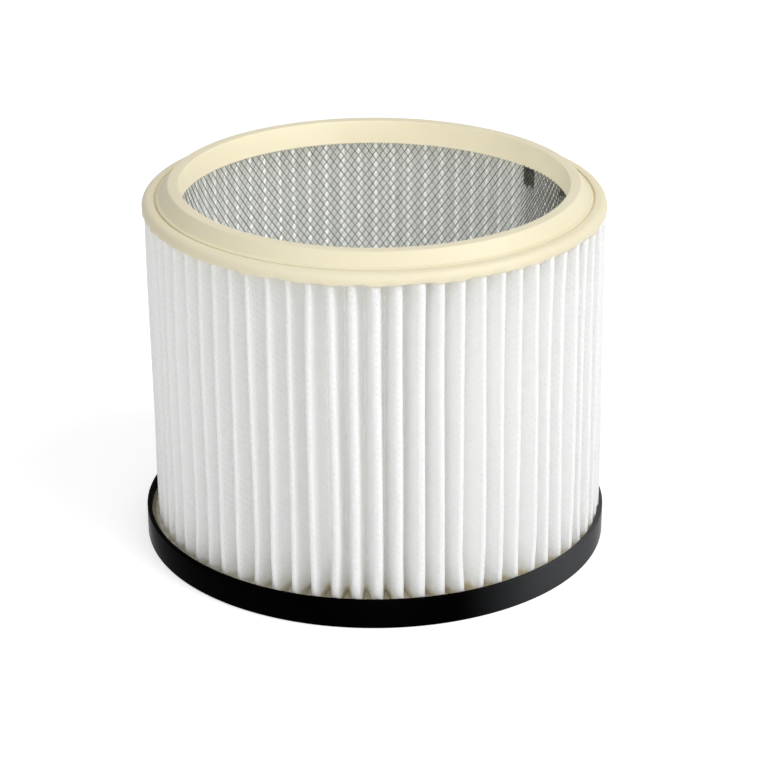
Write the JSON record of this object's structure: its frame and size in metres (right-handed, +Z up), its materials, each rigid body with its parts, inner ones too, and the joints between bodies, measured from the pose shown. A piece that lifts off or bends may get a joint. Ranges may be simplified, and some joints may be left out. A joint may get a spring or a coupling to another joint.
{
  "type": "vacuum cleaner filter",
  "caption": "Cylindrical pleated cartridge filter, open at the top with a stepped cream sealing ring, closed below by a black pan, with a metal support mesh inside the pleats.",
  "frame": {"origin": "middle of the pan's underside, on the filter's axis", "axes": "+Z up along the filter's axis, out of the open end; the front in the picture faces -Y"},
  "size_m": [0.185, 0.185, 0.1466],
  "materials": {
    "black_plastic": "glossy",
    "amber_adhesive": "semi-gloss",
    "filter_fabric": "matte nonwoven",
    "galvanised_mesh": "galvanised",
    "cast_polyurethane": "matte cast"
  },
  "bodies": {
    "root": {"bottom_pan": "black_plastic", "bottom_potting": "amber_adhesive", "pleated_media": "filter_fabric", "support_mesh": "galvanised_mesh", "top_end_cap": "cast_polyurethane"}
  },
  "joints": []
}
